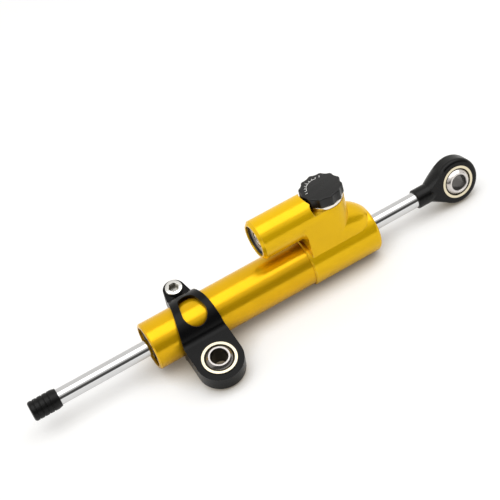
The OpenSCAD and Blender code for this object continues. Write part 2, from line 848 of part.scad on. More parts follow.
// Outline of the clamp seen along the bearing's axis, as an upright bar
module clamp_outline() {
    high = wrap_r + past;
    lug = [0, -lug_reach];
    root = [0, -lug_reach + lug_r];
    ring = [wrap_shift, 0];
    boss = [wrap_shift, boss_reach];
    link(lug, lug_r, root, lug_r, -high, high);
    link(root, lug_r, ring, wrap_half, -high, high);
    link(ring, wrap_half, boss, boss_r, -high, high);
}

// Fillet along the tube between the ring and a flat at the given height
module ring_fillet(height, r) {
    centre_r = wrap_r + r;
    centre = [-sqrt(centre_r * centre_r - (height + r) * (height + r)), height + r];
    touch = centre * wrap_r / centre_r;
    rotate([90, 0, 90]) linear_extrude(2 * lug_r, center = true) difference() {
        polygon([[centre.x, height - past], [centre.x, height], centre, touch, [touch.x, height - past]]);
        translate(centre) circle(r = r);
    }
}

// The ring, the lug and the boss, seen along the tube
module clamp_sections() {
    bar(wrap_r, -lug_r - past, lug_r + past);
    translate([-lug_r - past, -lug_reach - lug_r - past, lug_low])
        cube([2 * (lug_r + past), lug_reach + lug_r + past, lug_thickness]);
    translate([-lug_r - past, 0, -boss_bottom])
        cube([2 * (lug_r + past), boss_reach + boss_r + past, boss_bottom + boss_top]);
    ring_fillet(lug_high, lug_fillet);
    mirror([0, 0, 1]) ring_fillet(-lug_low, lug_fillet);
    mirror([0, 1, 0]) ring_fillet(boss_top, boss_fillet);
    mirror([0, 1, 0]) mirror([0, 0, 1]) ring_fillet(boss_bottom, boss_fillet);
}

module clamp() {
    color("dimgray") in_clamp() difference() {
        intersection() {
            clamp_sections();
            clamp_outline();
        }
        bar(wrap_bore_r, -lug_r - 2 * past, lug_r + 2 * past);
        translate([0, -lug_reach, -wrap_r]) cylinder(d = race_d + 2 * seat_gap, h = wrap_d);
        link([wrap_shift, -window_wide_place], window_wide_r,
            [wrap_shift, window_narrow_place], window_narrow_r, 0, wrap_d);
        translate([-lug_r, 0, -split / 2]) cube([2 * lug_r, boss_reach + boss_d, split]);
        translate([wrap_shift, boss_reach, 0]) {
            translate([0, 0, screw_seat]) cylinder(d = clamp_head_d + 2 * screw_gap, h = wrap_d);
            cylinder(d = clamp_screw_d + 2 * screw_gap, h = wrap_d);
            translate([0, 0, -wrap_r]) cylinder(d = clamp_screw_d + 2 * seat_gap, h = wrap_r);
        }
    }
}

// Outer ring of a spherical bearing, about its own axis
module race() {
    half = race_width / 2;
    inside_r = ball_r + running_gap;
    mouth_r = sqrt(inside_r * inside_r - half * half);
    chamfer = race_mouth_d / 2 - mouth_r;
    rotate_extrude() difference() {
        translate([mouth_r / 2, -half]) square([race_d / 2 - mouth_r / 2, race_width]);
        circle(r = inside_r);
        for (side = [-1, 1])
            polygon([
                [0, side * half], [race_mouth_d / 2, side * half],
                [mouth_r, side * (half - chamfer)], [0, side * (half - chamfer)]
            ]);
    }
}

// Ball of a spherical bearing, about its own axis
module ball() {
    half = ball_width / 2;
    bore_r = ball_bore_d / 2;
    rotate_extrude() difference() {
        intersection() {
            circle(r = ball_r);
            translate([bore_r, -half]) square([ball_r, ball_width]);
        }
        for (side = [-1, 1])
            polygon([
                [0, side * half], [bore_r + ball_chamfer, side * half],
                [bore_r, side * (half - ball_chamfer)], [0, side * (half - ball_chamfer)]
            ]);
    }
}

module clamp_race() {
    color("goldenrod") in_clamp() translate([0, -lug_reach, lug_rise]) race();
}

module clamp_ball() {
    color("silver") in_clamp() translate([0, -lug_reach, lug_rise]) ball();
}

module clamp_screw() {
    color("silver") in_clamp() translate([wrap_shift, boss_reach, screw_seat]) socket_screw(
        clamp_screw_d, screw_seat + boss_bottom - clamp_screw_gap,
        clamp_head_d, clamp_head_height, clamp_key);
}

module piston_band() {
    inside = band_groove_d / 2 + running_gap;
    outside = liner_bore_r - running_gap;
    color("white") turned() translate([inside, -piston_place - band_width / 2 + running_gap])
        square([outside - inside, band_width - 2 * running_gap]);
}

module piston_rod() {
    thread_r = rod_thread_d / 2;
    color("silver") difference() {
        turned() polygon([
            [0, rod_left - rod_thread_length], [thread_r - edge, rod_left - rod_thread_length],
            [thread_r, rod_left - rod_thread_length + edge], [thread_r, rod_left],
            [rod_r, rod_left], [rod_r, rod_right], [thread_r, rod_right],
            [thread_r, rod_right + rod_thread_length - edge],
            [thread_r - edge, rod_right + rod_thread_length], [0, rod_right + rod_thread_length]
        ]);
        for (place = [piston_left - snap_thickness, piston_right])
            difference() {
                bar(rod_d, place, place + snap_thickness);
                bar(rod_r - rod_groove_depth, place - past, place + snap_thickness + past);
            }
    }
}

module piston() {
    color("lightgray") difference() {
        turned() round_profile(piston_d / 2, piston_left, piston_right, edge, edge);
        bar(rod_r + seat_gap, piston_left - past, piston_right + past);
        difference() {
            bar(piston_d, -piston_place - band_width / 2, -piston_place + band_width / 2);
            bar(band_groove_d / 2, piston_left, piston_right);
        }
    }
}

module piston_clips() {
    inside = rod_r - rod_groove_depth + seat_gap;
    color("darkslategray") for (place = [piston_left - snap_thickness, piston_right])
        translate([place, 0, 0]) rotate([0, 90, 0]) linear_extrude(snap_thickness) difference() {
            circle(d = snap_d);
            circle(r = inside);
            translate([0, -snap_mouth / 2]) square([snap_d, snap_mouth]);
        }
}

module rod_end() {
    neck_r = shank_d / 2;
    head_r = head_d / 2;
    reach = norm([neck_start, neck_r]);
    turn = atan2(neck_r, neck_start) + acos(head_r / reach);
    tangent = head_r * [-cos(turn), sin(turn)];
    color("dimgray") difference() {
        union() {
            rotate([rod_end_lean, 0, 0]) {
                translate([0, 0, -head_width / 2]) rotate_extrude()
                    round_profile(head_r, 0, head_width, head_edge, head_edge);
                intersection() {
                    turned() polygon([
                        [0, -neck_start], [neck_r, -neck_start], [tangent.y, tangent.x], [0, tangent.x]
                    ]);
                    translate([-neck_start - past, -head_r, -head_width / 2])
                        cube([neck_start + past, head_d, head_width]);
                }
            }
            turned() polygon([
                [0, rod_right], [neck_r - edge, rod_right], [neck_r, rod_right + edge],
                [neck_r, -neck_start], [head_width / 2, -nose_end], [0, -nose_end]
            ]);
        }
        rotate([rod_end_lean, 0, 0])
            cylinder(d = race_d + 2 * seat_gap, h = head_d, center = true);
        bar(rod_thread_d / 2 + seat_gap, rod_right - past, rod_right + rod_thread_length + thread_gap);
    }
}

module rod_end_race() {
    color("goldenrod") rotate([rod_end_lean, 0, 0]) race();
}

module rod_end_ball() {
    color("silver") rotate([rod_end_lean, 0, 0]) ball();
}

module end_cap() {
    cap_left = rod_left - cap_length;
    taper_start = rod_left - 4 * cap_taper;
    color("dimgray") difference() {
        turned() intersection() {
            round_profile(cap_d / 2, cap_left, rod_left, cap_edge, 0);
            polygon([
                [0, cap_left], [cap_d / 2, cap_left], [cap_d / 2, taper_start],
                [cap_d / 2 - cap_taper, rod_left], [0, rod_left]
            ]);
        }
        for (i = [1:cap_grooves])
            translate([cap_left + i * cap_groove_pitch, 0, 0]) turned()
                translate([cap_d / 2, 0]) circle(r = cap_groove_depth);
        bar(rod_thread_d / 2 + seat_gap, rod_left - rod_thread_length - thread_gap, rod_left + past);
    }
}

// Outline of the knob, with a scallop for each finger's grip
module knob_outline() {
    difference() {
        circle(d = knob_d);
        for (i = [0:knob_scallops - 1])
            rotate(360 * (i + 0.5) / knob_scallops)
                translate([knob_d / 2 - scallop_depth + scallop_r, 0]) circle(r = scallop_r);
    }
}

module adjuster_knob() {
    color("dimgray") translate([turret_x, 0, 0]) difference() {
        intersection() {
            translate([0, 0, knob_low]) linear_extrude(knob_height) knob_outline();
            rotate_extrude() polygon([
                [0, knob_low], [knob_d / 2 - edge, knob_low], [knob_d / 2, knob_low + edge],
                [knob_d / 2, knob_top - knob_bevel], [knob_d / 2 - knob_bevel, knob_top], [0, knob_top]
            ]);
        }
        translate([0, 0, knob_low - past]) cylinder(r = spindle_r + seat_gap, h = knob_socket_depth + past);
        translate([0, 0, knob_low + knob_socket_depth / 2]) rotate([-90, 0, 0])
            cylinder(d = grub_d + 2 * seat_gap, h = knob_d);
    }
}

module adjuster_spindle() {
    flange_r = turret_bore_r - 2 * end_gap;
    body_low = spindle_floor + spindle_end_gap;
    tip_low = seat_top + tip_gap;
    color("silver") translate([turret_x, 0, 0]) difference() {
        union() {
            translate([0, 0, body_low]) cylinder(r = spindle_r, h = stem_top - body_low);
            translate([0, 0, flange_low]) cylinder(r = flange_r, h = flange_height);
            translate([0, 0, tip_low]) cylinder(d1 = orifice_d, d2 = tip_d, h = body_low - tip_low);
        }
        translate([0, 0, detent_z]) rotate_extrude()
            translate([detent_reach, 0]) circle(r = detent_d / 2 + end_gap);
        for (turn = [0:click_angle:359])
            rotate(turn) translate([detent_reach, 0, detent_z]) sphere(r = detent_d / 2 + 3 * end_gap);
        spindle_ring_groove();
    }
}

// Groove around the spindle for its sealing ring
module spindle_ring_groove() {
    width = groove_share * o_ring_d;
    translate([0, 0, spindle_ring_z - width / 2]) difference() {
        cylinder(r = spindle_d, h = width);
        translate([0, 0, -past]) cylinder(r = spindle_r - o_ring_d - seat_gap, h = width + 2 * past);
    }
}

module adjuster_o_ring() {
    color("dimgray") translate([turret_x, 0, spindle_ring_z]) rotate_extrude()
        translate([spindle_r - o_ring_d / 2, 0]) circle(d = o_ring_d - seat_gap);
}

module knob_grub_screw() {
    color("dimgray") translate([turret_x, spindle_r + seat_gap, knob_low + knob_socket_depth / 2])
        rotate([-90, 0, 0]) difference() {
            cylinder(d = grub_d, h = grub_length);
            translate([0, 0, grub_length / 2]) cylinder(d = grub_key / cos(30), h = grub_length, $fn = 6);
        }
}

module floating_piston() {
    radius = reservoir_bore_r - running_gap;
    color("lightgray") translate([0, 0, reservoir_height]) difference() {
        turned() round_profile(radius, float_left, float_left + float_length, edge, edge);
        bar(float_hollow_d / 2, float_left - past, float_left + float_hollow_depth);
        ring_groove(radius, reservoir_ring_d, float_left + float_length / 2);
    }
}

module floating_piston_o_ring() {
    color("dimgray") translate([0, 0, reservoir_height]) sealing_ring(
        reservoir_bore_r - running_gap, reservoir_ring_d - seat_gap, float_left + float_length / 2);
}

head_block();
damper_tube();
tube_o_ring();
liner();
left_gland();
left_bush();
left_rod_seal();
left_wiper();
left_gland_o_ring();
left_circlip();
right_gland();
right_bush();
right_rod_seal();
right_wiper();
right_gland_o_ring();
right_circlip();
metering_seat();
adjuster_retainer();
detent_ball();
detent_spring();
reservoir_plug();
reservoir_plug_o_ring();
reservoir_circlip();
charge_screw();
clamp();
clamp_race();
clamp_screw();
clamp_ball();
piston_band();
piston_rod();
piston();
piston_clips();
rod_end();
rod_end_race();
end_cap();
rod_end_ball();
adjuster_knob();
adjuster_spindle();
adjuster_o_ring();
knob_grub_screw();
floating_piston();
floating_piston_o_ring();
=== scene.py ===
import math
import bmesh
import bpy
from mathutils import Matrix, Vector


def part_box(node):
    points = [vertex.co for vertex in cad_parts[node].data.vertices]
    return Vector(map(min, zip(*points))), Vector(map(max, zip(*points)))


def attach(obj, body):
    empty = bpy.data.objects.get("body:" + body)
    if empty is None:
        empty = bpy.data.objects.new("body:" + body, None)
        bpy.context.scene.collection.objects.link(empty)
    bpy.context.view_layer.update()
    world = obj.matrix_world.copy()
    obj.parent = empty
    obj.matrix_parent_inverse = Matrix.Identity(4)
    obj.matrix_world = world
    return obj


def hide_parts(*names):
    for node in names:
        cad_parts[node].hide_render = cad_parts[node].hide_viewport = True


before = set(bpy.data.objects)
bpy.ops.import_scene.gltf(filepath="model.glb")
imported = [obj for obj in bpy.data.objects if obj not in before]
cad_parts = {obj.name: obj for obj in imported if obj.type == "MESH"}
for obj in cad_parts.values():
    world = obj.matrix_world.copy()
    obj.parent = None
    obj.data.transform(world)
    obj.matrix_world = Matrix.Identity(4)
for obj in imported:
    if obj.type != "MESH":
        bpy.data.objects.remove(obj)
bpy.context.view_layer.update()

MM = 0.001


# Camera: it stands above and to the left of the damper's near side, about 0.61 m away.
# The long lens keeps the two sides of the tube almost parallel.
lens = bpy.data.cameras.new("lens")
lens.sensor_width = 36
lens.lens = 93.1
lens.clip_start, lens.clip_end = 0.01, 30
camera = bpy.data.objects.new("camera", lens)
camera.location = (-0.25214, -0.45130, 0.41053)
camera.rotation_euler = [math.radians(a) for a in (49.276, 13.487, -28.466)]
bpy.context.collection.objects.link(camera)
bpy.context.scene.camera = camera
bpy.context.scene.view_settings.view_transform = "Standard"


# Floor: a sheet of white card. The damper lies on its clamp and its rod end, which reach
# down to different heights, so the card is tipped by the same small angle under them. Where
# the damper comes close, the card's colour and glow are darkened and browned as painted shade.
def node(tree, kind, x=0, y=0, **settings):
    made = tree.nodes.new("ShaderNode" + kind)
    made.location = (x, y)
    for name, value in settings.items():
        setattr(made, name, value)
    return made


def feed(tree, source, target, socket):
    tree.links.new(source, target.inputs[socket])


floor_tip = math.radians(0.83)
floor_height = -12.29 * MM
floor_half_width = 6
contact_reach = 18 * MM
floor_mesh = bpy.data.meshes.new("floor")
form = bmesh.new()
bmesh.ops.create_grid(form, x_segments=1, y_segments=1, size=floor_half_width)
bmesh.ops.rotate(form, verts=form.verts, cent=(0, 0, 0),
                 matrix=Matrix.Rotation(-floor_tip, 3, "Y"))
bmesh.ops.translate(form, verts=form.verts, vec=(0, 0, floor_height))
form.to_mesh(floor_mesh)
form.free()
floor = bpy.data.objects.new("floor", floor_mesh)
bpy.context.collection.objects.link(floor)

card = bpy.data.materials.new("white_card")
card.use_nodes = True
tree = card.node_tree
tree.nodes.clear()
matt = node(tree, "BsdfDiffuse", -200, 100)
glow = node(tree, "Emission", -200, -60)
openness = node(tree, "AmbientOcclusion", -900, 200, samples=12)
openness.inputs["Distance"].default_value = contact_reach
painted_shade_mask = node(tree, "MapRange", -700, 200)
painted_shade_mask.inputs["From Min"].default_value = 0.08
painted_shade_mask.inputs["From Max"].default_value = 0.75
# Painted shade: near the damper, ambient occlusion mixes the card's colour and glow towards warm
# brown.
card_painted_shade = node(tree, "Mix", -450, 250, data_type="RGBA")
card_painted_shade.inputs["A"].default_value = (0.38, 0.31, 0.21, 1)
card_painted_shade.inputs["B"].default_value = (0.70, 0.70, 0.695, 1)
glow_painted_shade = node(tree, "Mix", -450, 50, data_type="RGBA")
glow_painted_shade.inputs["A"].default_value = (0.30, 0.24, 0.15, 1)
glow_painted_shade.inputs["B"].default_value = (1, 1, 1, 1)
feed(tree, openness.outputs["AO"], painted_shade_mask, "Value")
feed(tree, painted_shade_mask.outputs["Result"], card_painted_shade, "Factor")
feed(tree, painted_shade_mask.outputs["Result"], glow_painted_shade, "Factor")
feed(tree, card_painted_shade.outputs["Result"], matt, "Color")
feed(tree, glow_painted_shade.outputs["Result"], glow, "Color")
path = node(tree, "LightPath", -600, -60)
mirrored = node(tree, "Math", -500, -160, operation="MAXIMUM")
fainter = node(tree, "Math", -400, -160, operation="MULTIPLY")
fainter.inputs[1].default_value = 0.2
strength = node(tree, "Math", -300, -60, operation="MULTIPLY_ADD")
strength.inputs[1].default_value = 0.34
both = node(tree, "AddShader", 0, 0)
out = node(tree, "OutputMaterial", 200, 0)
feed(tree, path.outputs["Is Glossy Ray"], mirrored, 0)
feed(tree, path.outputs["Is Transmission Ray"], mirrored, 1)
feed(tree, mirrored.outputs[0], fainter, 0)
feed(tree, path.outputs["Is Camera Ray"], strength, 0)
feed(tree, fainter.outputs[0], strength, 2)
feed(tree, strength.outputs[0], glow, "Strength")
feed(tree, matt.outputs[0], both, 0)
feed(tree, glow.outputs[0], both, 1)
feed(tree, both.outputs[0], out, "Surface")
floor_mesh.materials.append(card)


# Studio: pale walls behind the damper, a dim room on the camera's side, and one long
# soft lamp overhead between them. The lamp draws the bright band along the tube.
world = bpy.data.worlds.new("studio")
bpy.context.scene.world = world
world.use_nodes = True
tree = world.node_tree
tree.nodes.clear()
place = node(tree, "TexCoord", -900, 0)
parts = node(tree, "SeparateXYZ", -700, 0)
towards = node(tree, "Math", -500, 100, operation="MULTIPLY")
towards.inputs[1].default_value = -1
angle = node(tree, "Math", -350, 0, operation="ARCTAN2")
share = node(tree, "Math", -200, 0, operation="MULTIPLY_ADD")
share.inputs[1].default_value = 1 / (2 * math.pi)
share.inputs[2].default_value = 0.5
ramp = node(tree, "ValToRGB", -50, 0)
room = [(-179, 0.7), (-88, 0.8), (-50, 0.78), (0, 0.8), (36, 0.8), (48, 0.6), (59, 0.085),
        (88, 0.085), (94, 0.5)]
for degrees, grey in room:
    stop = ramp.color_ramp.elements.new(degrees / 360 + 0.5)
    stop.color = (grey, grey * 0.985, grey * 0.96, 1)
air = node(tree, "Background", 250, 0)
out = node(tree, "OutputWorld", 450, 0)
feed(tree, place.outputs["Generated"], parts, 0)
feed(tree, parts.outputs["Y"], towards, 0)
feed(tree, towards.outputs[0], angle, 0)
feed(tree, parts.outputs["Z"], angle, 1)
feed(tree, angle.outputs[0], share, 0)
feed(tree, share.outputs[0], ramp, "Fac")
feed(tree, ramp.outputs["Color"], air, "Color")
feed(tree, air.outputs[0], out, "Surface")

lamp_lean, lamp_distance, lamp_x = math.radians(13), 1.2, 0.1
lamp_data = bpy.data.lights.new("softbox", "AREA")
lamp_data.shape = "RECTANGLE"
lamp_data.size = 2.4
lamp_data.size_y = 1.05
lamp_data.energy = 10.2
lamp = bpy.data.objects.new("softbox", lamp_data)
lamp.location = (lamp_x, -lamp_distance * math.sin(lamp_lean),
                 lamp_distance * math.cos(lamp_lean))
lamp.rotation_euler = (-lamp_lean, 0, 0)
bpy.context.collection.objects.link(lamp)


# Piston rod: 8 mm steel bar, ground and hard chromed, with a thread cut on each end. It
# leaves both ends of the tube. The finishes share four masks: the rings that a lathe leaves,
# faint smudges from handling, edges paled by wear and painted sheen, and the distance from an
# axis.
def group(name, inputs, outputs):
    made = bpy.data.node_groups.new(name, "ShaderNodeTree")
    for label, kind, value in inputs:
        socket = made.interface.new_socket(label, in_out="INPUT", socket_type="NodeSocket" + kind)
        if value is not None:
            socket.default_value = value
    for label, kind in outputs:
        made.interface.new_socket(label, in_out="OUTPUT", socket_type="NodeSocket" + kind)
    start = made.nodes.new("NodeGroupInput")
    start.location = (-900, 0)
    end = made.nodes.new("NodeGroupOutput")
    end.location = (600, 0)
    return made, start, end


turned_rings, start, end = group(
    "turned_rings", [("Vector", "Vector", None), ("Fineness", "Float", 3000.0)],
    [("Height", "Float")])
flatten = node(turned_rings, "VectorMath", -600, 0, operation="MULTIPLY")
flatten.inputs[1].default_value = (1, 0.012, 0.012)
rings = node(turned_rings, "TexNoise", -300, 0)
rings.inputs["Detail"].default_value = 3
rings.inputs["Roughness"].default_value = 0.6
feed(turned_rings, start.outputs["Vector"], flatten, 0)
feed(turned_rings, flatten.outputs[0], rings, "Vector")
feed(turned_rings, start.outputs["Fineness"], rings, "Scale")
feed(turned_rings, rings.outputs["Fac"], end, "Height")

smudges, start, end = group(
    "smudges", [("Vector", "Vector", None), ("Size", "Float", 90.0)], [("Mask", "Float")])
cloud = node(smudges, "TexNoise", -500, 100)
cloud.inputs["Detail"].default_value = 4
cloud.inputs["Roughness"].default_value = 0.55
cloud.inputs["Distortion"].default_value = 0.6
spread = node(smudges, "MapRange", -200, 0)
spread.inputs["From Min"].default_value = 0.38
spread.inputs["From Max"].default_value = 0.68
feed(smudges, start.outputs["Vector"], cloud, "Vector")
feed(smudges, start.outputs["Size"], cloud, "Scale")
feed(smudges, cloud.outputs["Fac"], spread, "Value")
feed(smudges, spread.outputs["Result"], end, "Mask")

# Edge mask: edges are paled partly as real wear and partly as painted sheen.
worn_edges_and_sheen, start, end = group(
    "worn_edges_and_sheen",
    [("Vector", "Vector", None), ("Radius", "Float", 0.0004), ("Amount", "Float", 0.5)],
    [("Mask", "Float")])
rounded = node(worn_edges_and_sheen, "Bevel", -700, 200, samples=6)
flat = node(worn_edges_and_sheen, "NewGeometry", -700, 0)
agree = node(worn_edges_and_sheen, "VectorMath", -500, 100, operation="DOT_PRODUCT")
edge = node(worn_edges_and_sheen, "MapRange", -300, 100)
edge.inputs["From Min"].default_value = 0.995
edge.inputs["From Max"].default_value = 0.86
patchy = node(worn_edges_and_sheen, "TexNoise", -500, -150)
patchy.inputs["Scale"].default_value = 450
patchy.inputs["Detail"].default_value = 5
worn = node(worn_edges_and_sheen, "MapRange", -300, -150)
worn.inputs["From Min"].default_value = 0.42
worn.inputs["From Max"].default_value = 0.62
times = node(worn_edges_and_sheen, "Math", -100, 0, operation="MULTIPLY")
scaled = node(worn_edges_and_sheen, "Math", 100, 0, operation="MULTIPLY", use_clamp=True)
feed(worn_edges_and_sheen, start.outputs["Radius"], rounded, "Radius")
feed(worn_edges_and_sheen, rounded.outputs[0], agree, 0)
feed(worn_edges_and_sheen, flat.outputs["Normal"], agree, 1)
feed(worn_edges_and_sheen, agree.outputs["Value"], edge, "Value")
feed(worn_edges_and_sheen, start.outputs["Vector"], patchy, "Vector")
feed(worn_edges_and_sheen, patchy.outputs["Fac"], worn, "Value")
feed(worn_edges_and_sheen, edge.outputs["Result"], times, 0)
feed(worn_edges_and_sheen, worn.outputs["Result"], times, 1)
feed(worn_edges_and_sheen, times.outputs[0], scaled, 0)
feed(worn_edges_and_sheen, start.outputs["Amount"], scaled, 1)
feed(worn_edges_and_sheen, scaled.outputs[0], end, "Mask")

zone_reach = 10 * MM
axis_distance, start, end = group(
    "axis_distance", [("Vector", "Vector", None)], [("Distance", "Float")])
across = node(axis_distance, "VectorMath", -500, 0, operation="MULTIPLY")
across.inputs[1].default_value = (0, 1 / zone_reach, 1 / zone_reach)
length = node(axis_distance, "VectorMath", -200, 0, operation="LENGTH")
feed(axis_distance, start.outputs["Vector"], across, 0)
feed(axis_distance, across.outputs[0], length, 0)
feed(axis_distance, length.outputs["Value"], end, "Distance")


# How far ambient occlusion looks for the painted shade in creases.
painted_shade_reach = 8 * MM


def finish(name, colour, metallic, roughness, centre=(0, 0, 0), turn=(0, 0, 0), rings_depth=0.0,
           fineness=3000, smudge=0.05, shade=0.06, rub=0.0, rub_and_sheen_colour=(0.7, 0.7, 0.7),
           rub_roughness=0.3, soft_edge=0.15, coat=0.0, coat_roughness=0.1, grain=0.0,
           grain_size=2500, specular=0.5, painted_crease_shade=None, shade_zones=None):
    made = bpy.data.materials.new(name)
    made.use_nodes = True
    tree = made.node_tree
    tree.nodes.clear()
    place = node(tree, "TexCoord", -1500, 0)
    centred = node(tree, "Mapping", -1300, 0, vector_type="TEXTURE")
    centred.inputs["Location"].default_value = [v * MM for v in centre]
    centred.inputs["Rotation"].default_value = [math.radians(v) for v in turn]
    surface = node(tree, "BsdfPrincipled", 200, 0)
    surface.inputs["Metallic"].default_value = metallic
    surface.inputs["Specular IOR Level"].default_value = specular
    surface.inputs["Coat Weight"].default_value = coat
    surface.inputs["Coat Roughness"].default_value = coat_roughness
    out = node(tree, "OutputMaterial", 500, 0)
    feed(tree, place.outputs["Object"], centred, "Vector")
    feed(tree, surface.outputs[0], out, "Surface")

    touched = node(tree, "Group", -1000, 200, node_tree=smudges)
    feed(tree, centred.outputs[0], touched, "Vector")
    tone = node(tree, "Mix", -600, 300, data_type="RGBA")
    tone.inputs["A"].default_value = (*colour, 1)
    tone.inputs["B"].default_value = (*[c * (1 - shade) for c in colour], 1)
    feed(tree, touched.outputs["Mask"], tone, "Factor")
    polish = node(tree, "MapRange", -600, 0)
    polish.inputs["To Min"].default_value = roughness - smudge / 2
    polish.inputs["To Max"].default_value = roughness + smudge / 2
    feed(tree, touched.outputs["Mask"], polish, "Value")
    colour_out, roughness_out = tone.outputs["Result"], polish.outputs["Result"]

    # Painted light and shade: the colour is multiplied by a brightness read from the distance to
    # an axis.
    if shade_zones:
        reach = node(tree, "Group", -1000, 500, node_tree=axis_distance)
        feed(tree, centred.outputs[0], reach, "Vector")
        ladder = node(tree, "ValToRGB", -800, 600)
        for radius, level in shade_zones:
            stop = ladder.color_ramp.elements.new(radius * MM / zone_reach)
            stop.color = (level, level, level, 1)
        ladder.color_ramp.elements[-1].color = (level, level, level, 1)
        feed(tree, reach.outputs["Distance"], ladder, "Fac")
        painted_shade_zoned = node(tree, "Mix", -450, 500, data_type="RGBA", blend_type="MULTIPLY")
        painted_shade_zoned.inputs["Factor"].default_value = 1
        feed(tree, colour_out, painted_shade_zoned, "A")
        feed(tree, ladder.outputs["Color"], painted_shade_zoned, "B")
        colour_out = painted_shade_zoned.outputs["Result"]

    # Edges are lightened towards the rub colour: partly real wear, partly painted sheen.
    if rub > 0:
        edges = node(tree, "Group", -1000, -100, node_tree=worn_edges_and_sheen)
        edges.inputs["Amount"].default_value = rub
        feed(tree, centred.outputs[0], edges, "Vector")
        wear_and_sheen_mix = node(tree, "Mix", -300, 300, data_type="RGBA")
        wear_and_sheen_mix.inputs["B"].default_value = (*rub_and_sheen_colour, 1)
        feed(tree, edges.outputs["Mask"], wear_and_sheen_mix, "Factor")
        feed(tree, colour_out, wear_and_sheen_mix, "A")
        dull = node(tree, "Mix", -300, 50, data_type="FLOAT")
        dull.inputs["B"].default_value = rub_roughness
        feed(tree, edges.outputs["Mask"], dull, "Factor")
        feed(tree, roughness_out, dull, "A")
        colour_out, roughness_out = wear_and_sheen_mix.outputs["Result"], dull.outputs["Result"]

    # Painted shade: where ambient occlusion finds a corner or crease, the colour turns to the
    # given dark tone.
    if painted_crease_shade:
        nook = node(tree, "AmbientOcclusion", -500, 800, samples=8)
        nook.inputs["Distance"].default_value = painted_shade_reach
        clear = node(tree, "MapRange", -300, 800)
        clear.inputs["From Min"].default_value = 0.18
        clear.inputs["From Max"].default_value = 0.6
        painted_shade_mix = node(tree, "Mix", -100, 500, data_type="RGBA")
        painted_shade_mix.inputs["A"].default_value = (*painted_crease_shade, 1)
        feed(tree, nook.outputs["AO"], clear, "Value")
        feed(tree, clear.outputs["Result"], painted_shade_mix, "Factor")
        feed(tree, colour_out, painted_shade_mix, "B")
        colour_out = painted_shade_mix.outputs["Result"]
    feed(tree, colour_out, surface, "Base Color")
    feed(tree, roughness_out, surface, "Roughness")

    normal_out = None
    if soft_edge > 0:
        eased = node(tree, "Bevel", -500, -500, samples=4)
        eased.inputs["Radius"].default_value = soft_edge * MM
        normal_out = eased.outputs[0]
    if rings_depth > 0:
        cut = node(tree, "Group", -1000, -350, node_tree=turned_rings)
        cut.inputs["Fineness"].default_value = fineness
        feed(tree, centred.outputs[0], cut, "Vector")
        ridges = node(tree, "Bump", -250, -400)
        ridges.inputs["Distance"].default_value = rings_depth * MM
        feed(tree, cut.outputs["Height"], ridges, "Height")
        if normal_out:
            feed(tree, normal_out, ridges, "Normal")
        normal_out = ridges.outputs[0]
    if grain > 0:
        pits = node(tree, "TexNoise", -500, -700)
        pits.inputs["Scale"].default_value = grain_size
        pits.inputs["Detail"].default_value = 2
        feed(tree, centred.outputs[0], pits, "Vector")
        rough = node(tree, "Bump", 0, -400)
        rough.inputs["Distance"].default_value = grain * MM
        feed(tree, pits.outputs["Fac"], rough, "Height")
        if normal_out:
            feed(tree, normal_out, rough, "Normal")
        normal_out = rough.outputs[0]
    if normal_out:
        feed(tree, normal_out, surface, "Normal")
    return made


def dress(names, material):
    for name in names.split():
        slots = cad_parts[name].data.materials
        slots.clear()
        slots.append(material)


hard_chrome = finish("hard_chrome", (0.77, 0.77, 0.775), 1, 0.07, rings_depth=0.0006,
                     fineness=6000, smudge=0.03, shade=0.04, soft_edge=0.1)
dress("piston_rod", hard_chrome)


# Piston: a turned aluminium disc fixed on the rod between two snap rings. A slide band
# of filled plastic in its groove runs on the liner.
piston_metal = finish("piston_metal", (0.60, 0.60, 0.61), 1, 0.3, rings_depth=0.002,
                      fineness=3500)
dress("piston", piston_metal)
band_plastic = finish("band_plastic", (0.50, 0.36, 0.18), 0, 0.5, grain=0.002,
                      grain_size=5000)
dress("piston_band", band_plastic)
blackened_spring_steel = finish("blackened_spring_steel", (0.035, 0.034, 0.033), 0.6, 0.42,
                                rub=0.5, rub_and_sheen_colour=(0.4, 0.39, 0.38), grain=0.0015,
                                soft_edge=0.08)
dress("piston_clips knob_grub_screw", blackened_spring_steel)


# Liner: a thin drawn tube in which the piston runs. The oil passes from end to end
# through the space around it.
drawn_metal = finish("drawn_metal", (0.62, 0.62, 0.63), 1, 0.25, rings_depth=0.001,
                     fineness=2500)
dress("liner", drawn_metal)


# Tube and head block: turned and milled aluminium, polished, then anodised in a clear
# gold dye. The dyed layer is hard and glassy, so it shows faint smudges. Its corners are
# painted dark brown as painted shade.
gold_with_painted_shade = dict(smudge=0.06, rub=0.35, rub_and_sheen_colour=(0.95, 0.80, 0.45), rub_roughness=0.25,
            coat_roughness=0.08, specular=0.2, painted_crease_shade=(0.17, 0.035, 0.001))
gold_anodised_tube = finish("gold_anodised_tube", (0.91, 0.52, 0.003), 0.58, 0.22,
                            rings_depth=0.0012, fineness=2600, shade=0.05, soft_edge=0.12,
                            coat=0.08, **gold_with_painted_shade)
gold_anodised_block = finish("gold_anodised_block", (0.99, 0.597, 0.003), 0.42, 0.2, shade=0.04,
                             soft_edge=0.25, coat=0.06, grain=0.0004, grain_size=1500, **gold_with_painted_shade)
dress("damper_tube", gold_anodised_tube)
dress("head_block", gold_anodised_block)


